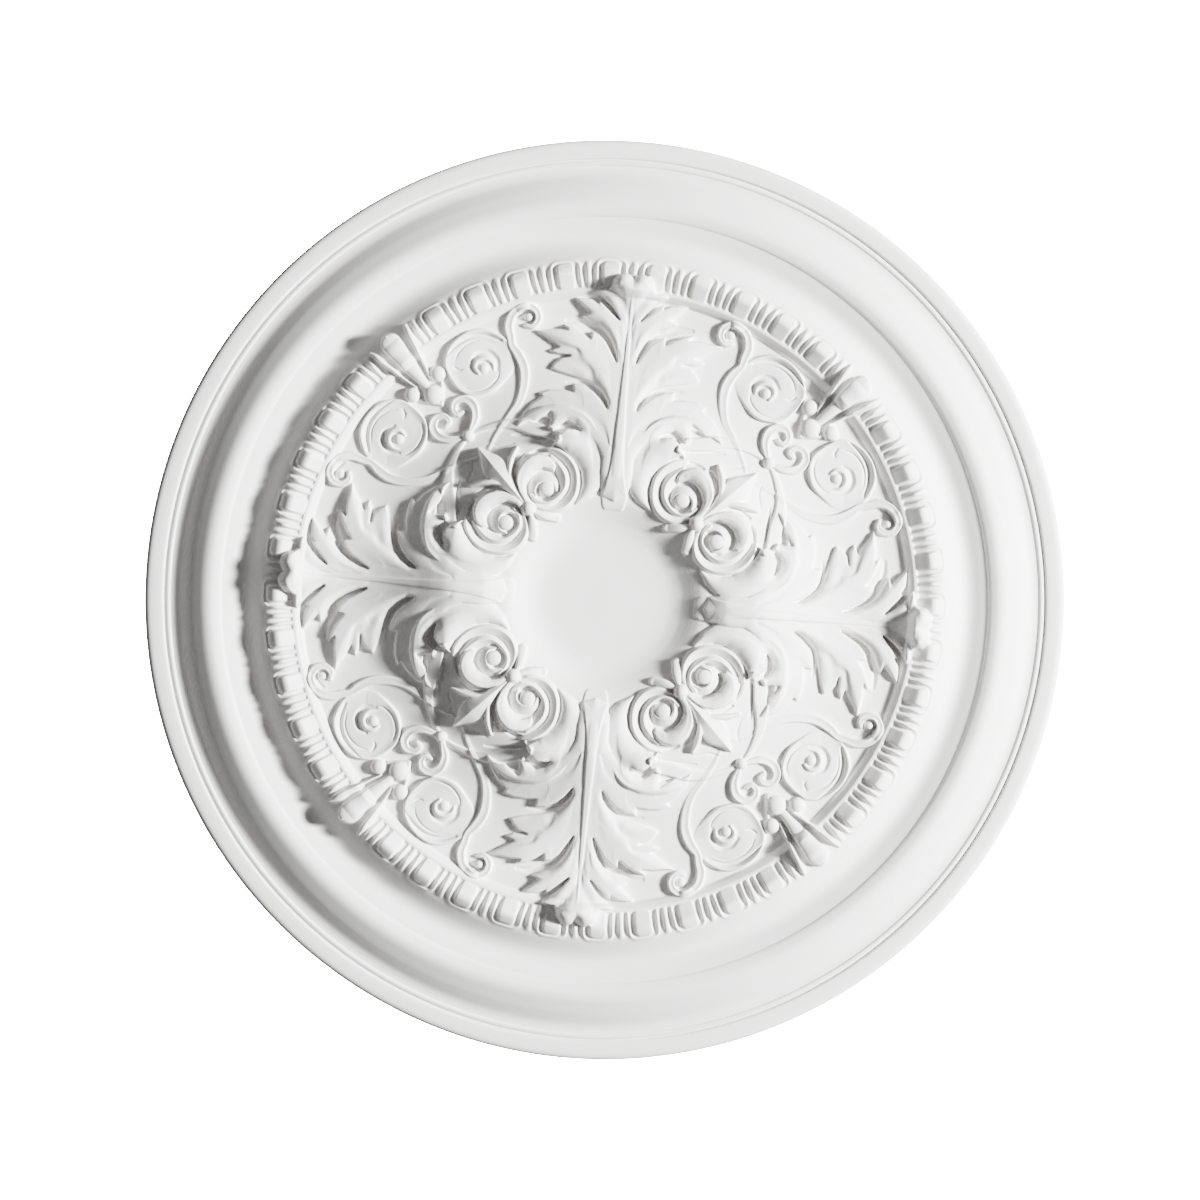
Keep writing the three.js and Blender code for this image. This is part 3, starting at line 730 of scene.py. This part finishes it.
def add_node(tree, kind, links=None, **settings):
    """Adds a node, sets its properties, and links or sets its inputs by name or place."""
    node = tree.nodes.new(kind)
    for key, value in settings.items():
        setattr(node, key, value)
    for socket, value in (links or {}).items():
        target = node.inputs[socket]
        if isinstance(value, bpy.types.NodeSocket):
            tree.links.new(value, target)
        else:
            target.default_value = value
    return node


def math_node(tree, operation, *values):
    """The outcome of one operation on linked or plain values."""
    return add_node(tree, "ShaderNodeMath", dict(enumerate(values)), operation=operation).outputs[0]


def finish_tree(tree, geometry, material):
    """Ends a tree: real geometry, its material, and out."""
    real = add_node(tree, "GeometryNodeRealizeInstances", {"Geometry": geometry})
    painted = add_node(tree, "GeometryNodeSetMaterial", {
        "Geometry": real.outputs[0], "Material": material})
    output = tree.nodes.new("NodeGroupOutput")
    tree.links.new(painted.outputs[0], output.inputs[0])


def apply_tree(piece, tree, **values):
    """Runs a tree on an object with its inputs set, and keeps the result as a plain mesh."""
    modifier = piece.modifiers.new(tree.name, "NODES")
    modifier.node_group = tree
    for item in tree.interface.items_tree:
        if item.in_out == "INPUT" and item.name.lower() in values:
            modifier[item.identifier] = values[item.name.lower()]
    return baked(piece)


def turned_tree():
    """Turns a row of profile points round the rose's axis."""
    tree = new_tree("Turned body", [
        ("Segments", "NodeSocketInt", 288), ("Seam", "NodeSocketFloat", WELD),
        ("Material", "NodeSocketMaterial", None)])
    given = tree.nodes.new("NodeGroupInput").outputs
    count = add_node(
        tree, "GeometryNodeAttributeDomainSize", {"Geometry": given["Geometry"]}, component="MESH")
    columns = math_node(tree, "ADD", given["Segments"], 1.0)
    grid = add_node(tree, "GeometryNodeMeshGrid", {
        "Vertices X": count.outputs["Point Count"], "Vertices Y": columns})
    index = tree.nodes.new("GeometryNodeInputIndex").outputs[0]
    row = math_node(tree, "FLOOR", math_node(tree, "DIVIDE", index, columns))
    column = math_node(tree, "SUBTRACT", index, math_node(tree, "MULTIPLY", row, columns))
    turn = math_node(tree, "MULTIPLY", math_node(tree, "DIVIDE", column, given["Segments"]), math.tau)
    place = tree.nodes.new("GeometryNodeInputPosition").outputs[0]
    sample = add_node(tree, "GeometryNodeSampleIndex", data_type="FLOAT_VECTOR", domain="POINT")
    tree.links.new(given["Geometry"], sample.inputs["Geometry"])
    tree.links.new(place, sample.inputs["Value"])
    tree.links.new(row, sample.inputs["Index"])
    parts = add_node(tree, "ShaderNodeSeparateXYZ", {0: sample.outputs[0]}).outputs
    x = math_node(tree, "MULTIPLY", parts[0], math_node(tree, "SINE", turn))
    y = math_node(tree, "MULTIPLY", parts[0], math_node(tree, "COSINE", turn))
    spot = add_node(tree, "ShaderNodeCombineXYZ", {"X": x, "Y": y, "Z": parts[2]})
    bent = add_node(tree, "GeometryNodeSetPosition", {
        "Geometry": grid.outputs["Mesh"], "Position": spot.outputs[0]})
    closed = add_node(tree, "GeometryNodeMergeByDistance", {
        "Geometry": bent.outputs[0], "Distance": given["Seam"]})
    finish_tree(tree, closed.outputs[0], given["Material"])
    return tree


def quarter_tree():
    """Mirrors one eighth across the diagonal and turns the quarter to its place."""
    tree = new_tree("Carved quarter", [
        ("Turn", "NodeSocketFloat", 0.0), ("Seam", "NodeSocketFloat", WELD),
        ("Material", "NodeSocketMaterial", None)])
    given = tree.nodes.new("NodeGroupInput").outputs
    mirror = add_node(tree, "GeometryNodeTransform", {
        "Geometry": given["Geometry"], "Scale": (-1, 1, 1), "Rotation": (0, 0, -math.pi / 2)})
    turned_out = add_node(tree, "GeometryNodeFlipFaces", {"Mesh": mirror.outputs[0]})
    both = tree.nodes.new("GeometryNodeJoinGeometry")
    tree.links.new(given["Geometry"], both.inputs[0])
    tree.links.new(turned_out.outputs[0], both.inputs[0])
    merged = add_node(tree, "GeometryNodeMergeByDistance", {
        "Geometry": both.outputs[0], "Distance": given["Seam"]})
    turn = add_node(tree, "ShaderNodeCombineXYZ", {"Z": given["Turn"]})
    placed = add_node(tree, "GeometryNodeTransform", {
        "Geometry": merged.outputs[0], "Rotation": turn.outputs[0]})
    finish_tree(tree, placed.outputs[0], given["Material"])
    return tree


# Finish


def grain_group():
    """Fine grain and slow waviness of a cast surface: a mask for its tone and a height for its bump."""
    group = bpy.data.node_groups.new("Cast grain", "ShaderNodeTree")
    face = group.interface
    for name, default in (("Grain scale", FACE_GRAIN), ("Wave scale", 14.0), ("Grain share", 0.5)):
        face.new_socket(name, in_out="INPUT", socket_type="NodeSocketFloat").default_value = default
    for name in ("Tone", "Height"):
        face.new_socket(name, in_out="OUTPUT", socket_type="NodeSocketFloat")
    given = group.nodes.new("NodeGroupInput").outputs
    place = group.nodes.new("ShaderNodeTexCoord").outputs["Object"]
    grain = add_node(group, "ShaderNodeTexNoise", {
        "Vector": place, "Scale": given["Grain scale"], "Detail": 3.0})
    wave = add_node(group, "ShaderNodeTexNoise", {
        "Vector": place, "Scale": given["Wave scale"], "Detail": 4.0})
    height = add_node(group, "ShaderNodeMix", {
        "Factor": given["Grain share"], "A": wave.outputs["Fac"], "B": grain.outputs["Fac"]})
    output = group.nodes.new("NodeGroupOutput")
    group.links.new(wave.outputs["Fac"], output.inputs["Tone"])
    group.links.new(height.outputs[0], output.inputs["Height"])
    return group


def cast_material(name, light, dark, roughness, grain, depth):
    """White casting: two tones mixed by the grain group, with its bump."""
    material = bpy.data.materials.new(name)
    material.use_nodes = True
    tree = material.node_tree
    surface = tree.nodes["Principled BSDF"]
    surface.inputs["Specular IOR Level"].default_value = SPECULAR
    shared = bpy.data.node_groups.get("Cast grain") or grain_group()
    group = add_node(tree, "ShaderNodeGroup", node_tree=shared)
    group.inputs["Grain scale"].default_value = grain
    tone = add_node(tree, "ShaderNodeMix", {"Factor": group.outputs["Tone"]}, data_type="RGBA")
    tone.inputs["A"].default_value = (*dark, 1)
    tone.inputs["B"].default_value = (*light, 1)
    tree.links.new(tone.outputs["Result"], surface.inputs["Base Color"])
    rough = add_node(tree, "ShaderNodeMapRange", {
        "Value": group.outputs["Height"], "To Min": roughness - ROUGHNESS_SPREAD,
        "To Max": roughness + ROUGHNESS_SPREAD})
    tree.links.new(rough.outputs[0], surface.inputs["Roughness"])
    bump = add_node(tree, "ShaderNodeBump", {
        "Height": group.outputs["Height"], "Distance": depth, "Strength": 1.0})
    tree.links.new(bump.outputs[0], surface.inputs["Normal"])
    return material


class RoseSizes(bpy.types.PropertyGroup):
    """Sizes of the rose, and how finely it is drawn"""

    diameter: FloatProperty(
        name="Diameter", description="Across the whole rose", default=0.7, unit="LENGTH")
    egg_pitch: FloatProperty(
        name="Egg pitch", description="Turn from one egg to the next",
        default=math.radians(8), subtype="ANGLE")
    softness: FloatProperty(
        name="Softness", description="How far the cast has rounded the carving, in units", default=0.45)
    rows: IntProperty(name="Rows", description="Points along the radius", default=515)
    columns: IntProperty(name="Columns", description="Points across one eighth", default=501)
    triangles: IntProperty(name="Triangles", description="Triangles of one eighth", default=94000)
    segments: IntProperty(name="Segments", description="Faces round the mouldings", default=288)


class RoseFinish(bpy.types.PropertyGroup):
    """Colours and roughness of the casting"""

    face: FloatVectorProperty(
        name="Face", description="Primed white of the face", default=(0.81, 0.805, 0.795),
        subtype="COLOR")
    face_low: FloatVectorProperty(
        name="Face, darker", description="The face's darker tone", default=(0.785, 0.78, 0.77),
        subtype="COLOR")
    back: FloatVectorProperty(
        name="Back", description="Bare cast back", default=(0.85, 0.84, 0.81), subtype="COLOR")
    back_low: FloatVectorProperty(
        name="Back, darker", description="The back's darker tone", default=(0.78, 0.77, 0.74),
        subtype="COLOR")
    roughness: FloatProperty(
        name="Roughness", description="Of the face", default=0.62, subtype="FACTOR")


# Pieces


def unit_length(sizes):
    """One unit of the drawing in metres."""
    return sizes.diameter / 2 / ROSE_UNITS


def finish_piece(piece):
    """Ties a piece to the casting."""
    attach(piece, "root")
    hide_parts(NODE)


def face_material():
    """The face's material, made when it is first asked for."""
    finish = bpy.context.scene.rose_finish
    return bpy.data.materials.get("white_cast_face") or cast_material(
        "white_cast_face", finish.face, finish.face_low, finish.roughness, FACE_GRAIN, FACE_DEPTH)


def back_material():
    """The back's material, made when it is first asked for."""
    finish = bpy.context.scene.rose_finish
    return bpy.data.materials.get("plain_cast_back") or cast_material(
        "plain_cast_back", finish.back, finish.back_low, BACK_ROUGHNESS, BACK_GRAIN, BACK_DEPTH)


class ROSE_OT_mouldings(bpy.types.Operator):
    """Turned body of the rose: disc, dish, ring mouldings, edge and flat back"""

    bl_idname = "rose.mouldings"
    bl_label = "Mouldings and back"

    def execute(self, context):
        sizes = context.scene.rose_sizes
        unit = unit_length(sizes)
        profile = profile_points(6)
        outermost = int(np.argmax(profile[:, 0]))
        face, rest = profile[:outermost], profile[outermost:]
        lap_in, lap_out = CARVED_FROM + LAP_WIDTH, CARVED_TO - LAP_WIDTH
        bed = [
            (lap_in, ground_drop(lap_in) - LAP), (lap_in + LAP_WIDTH, BED),
            (lap_out - LAP_WIDTH, BED), (lap_out, ground_drop(lap_out) - LAP),
        ]
        drawn = np.vstack([face[face[:, 0] <= CARVED_FROM], bed, face[face[:, 0] >= CARVED_TO], rest])
        points = np.stack([drawn[:, 0], 0 * drawn[:, 0], -drawn[:, 1]], axis=-1) * unit
        mesh = bpy.data.meshes.new("rose_body")
        mesh.from_pydata(points.tolist(), [(i, i + 1) for i in range(len(points) - 1)], [])
        piece = new_object("rose_body", mesh)
        mesh = apply_tree(piece, turned_tree(), segments=sizes.segments, material=face_material())
        form = bmesh.new()
        form.from_mesh(mesh)
        bmesh.ops.recalc_face_normals(form, faces=form.faces)
        form.to_mesh(mesh)
        form.free()
        mesh.materials.append(back_material())
        for face in mesh.polygons:
            face.use_smooth = True
            if face.center.z > -BACK_BELOW * unit:
                face.material_index = 1
        mesh.set_sharp_from_angle(angle=math.radians(SHARP_ANGLE))
        finish_piece(piece)
        return {"FINISHED"}


class ROSE_OT_carving(bpy.types.Operator):
    """Carved ground of the rose in four quarters, each from the middle of a leaf to the next"""

    bl_idname = "rose.carving"
    bl_label = "Carved quarters"

    def execute(self, context):
        sizes = context.scene.rose_sizes
        unit = unit_length(sizes)
        pitch = math.degrees(sizes.egg_pitch)
        eighth = eighth_mesh(
            unit, sizes.rows, sizes.columns, pitch, sizes.softness, sizes.triangles)
        tree = quarter_tree()
        for number in range(4):
            piece = new_object(f"carved_quarter_{number + 1}", eighth.copy())
            mesh = apply_tree(piece, tree, turn=number * math.pi / 2, material=face_material())
            mesh.shade_smooth()
            close_underneath(mesh, -UNDERSIDE * unit)
            finish_piece(piece)
        return {"FINISHED"}


# Stage and panel


class ROSE_OT_stage(bpy.types.Operator):
    """Camera straight below the rose, a soft key light, a weak light on the back, a floor and a surround"""

    bl_idname = "rose.stage"
    bl_label = "Camera, light and floor"

    def execute(self, context):
        scene = context.scene
        scene.view_settings.view_transform = "AgX"
        scene.view_settings.look = "AgX - High Contrast"
        camera = bpy.data.objects.new("camera", bpy.data.cameras.new("camera"))
        context.collection.objects.link(camera)
        camera.data.sensor_width = SENSOR_WIDTH
        pixel = scene.rose_sizes.diameter / 2 / PHOTO_RADIUS
        camera.data.lens = camera.data.sensor_width * (CAMERA_DISTANCE - FACE_DROP) / (PICTURE * pixel)
        turn = math.radians(PHOTO_TURN)
        right = Vector((-math.cos(turn), math.sin(turn), 0))
        up = Vector((math.sin(turn), math.cos(turn), 0))
        offset = ASIDE * pixel * right - BELOW * pixel * up
        camera.matrix_world = Matrix((
            (right.x, up.x, 0, offset.x), (right.y, up.y, 0, offset.y),
            (0, 0, -1, -CAMERA_DISTANCE), (0, 0, 0, 1)))
        scene.camera = camera

        corners = [(x * FLOOR_HALF, y * FLOOR_HALF, FLOOR_LEVEL)
                   for x, y in ((-1, -1), (1, -1), (1, 1), (-1, 1))]
        floor_mesh = mesh_of("floor", np.array(corners), np.array([(0, 1, 2, 3)]))
        floor = new_object("floor", floor_mesh)
        paint = bpy.data.materials.new("pale_floor")
        paint.use_nodes = True
        surface = paint.node_tree.nodes["Principled BSDF"]
        surface.inputs["Base Color"].default_value = FLOOR_COLOUR
        surface.inputs["Roughness"].default_value = FLOOR_ROUGHNESS
        floor_mesh.materials.append(paint)

        key_place = right * KEY_ASIDE + up * KEY_ABOVE + Vector((0, 0, KEY_LEVEL))
        self.lamp("key", key_place, KEY_SIZE, KEY_POWER)
        self.lamp("top", Vector(TOP_PLACE), TOP_SIZE, TOP_POWER)
        world = bpy.data.worlds.new("surround")
        world.use_nodes = True
        tree = world.node_tree
        sky = tree.nodes["Background"]
        sky.inputs["Color"].default_value = (1, 1, 1, 1)
        seen = add_node(tree, "ShaderNodeLightPath").outputs["Is Camera Ray"]
        strength = add_node(tree, "ShaderNodeMapRange", {
            "Value": seen, "To Min": SURROUND_LIGHT, "To Max": SURROUND_SEEN})
        tree.links.new(strength.outputs[0], sky.inputs["Strength"])
        scene.world = world
        return {"FINISHED"}

    def lamp(self, name, place, size, power):
        """A round area light that looks at the rose."""
        light = bpy.data.lights.new(name, "AREA")
        light.shape = "DISK"
        light.size = size
        light.energy = power
        lamp = bpy.data.objects.new(name, light)
        lamp.location = place
        lamp.rotation_mode = "QUATERNION"
        lamp.rotation_quaternion = (-place).to_track_quat("-Z", "Y")
        lamp.visible_camera = False
        bpy.context.collection.objects.link(lamp)


class ROSE_PT_panel(bpy.types.Panel):
    """Sizes, finish and steps of the ceiling rose"""

    bl_idname = "ROSE_PT_panel"
    bl_label = "Ceiling rose"
    bl_space_type = "VIEW_3D"
    bl_region_type = "UI"
    bl_category = "Rose"

    def draw(self, context):
        layout = self.layout
        for group in (context.scene.rose_sizes, context.scene.rose_finish):
            for name in group.__annotations__:
                layout.prop(group, name)
        for operator in OPERATORS:
            layout.operator(operator.bl_idname)


OPERATORS = (ROSE_OT_stage, ROSE_OT_mouldings, ROSE_OT_carving)
CLASSES = (RoseSizes, RoseFinish, *OPERATORS, ROSE_PT_panel)


def register():
    """Makes the groups, steps and panel known."""
    for item in CLASSES:
        bpy.utils.register_class(item)
    bpy.types.Scene.rose_sizes = PointerProperty(type=RoseSizes)
    bpy.types.Scene.rose_finish = PointerProperty(type=RoseFinish)


def unregister():
    """Takes them away again."""
    del bpy.types.Scene.rose_finish
    del bpy.types.Scene.rose_sizes
    for item in reversed(CLASSES):
        bpy.utils.unregister_class(item)


def main():
    """Builds the stage and the rose."""
    register()
    bpy.ops.rose.stage()
    bpy.ops.rose.mouldings()
    bpy.ops.rose.carving()


if __name__ == "__main__":
    main()
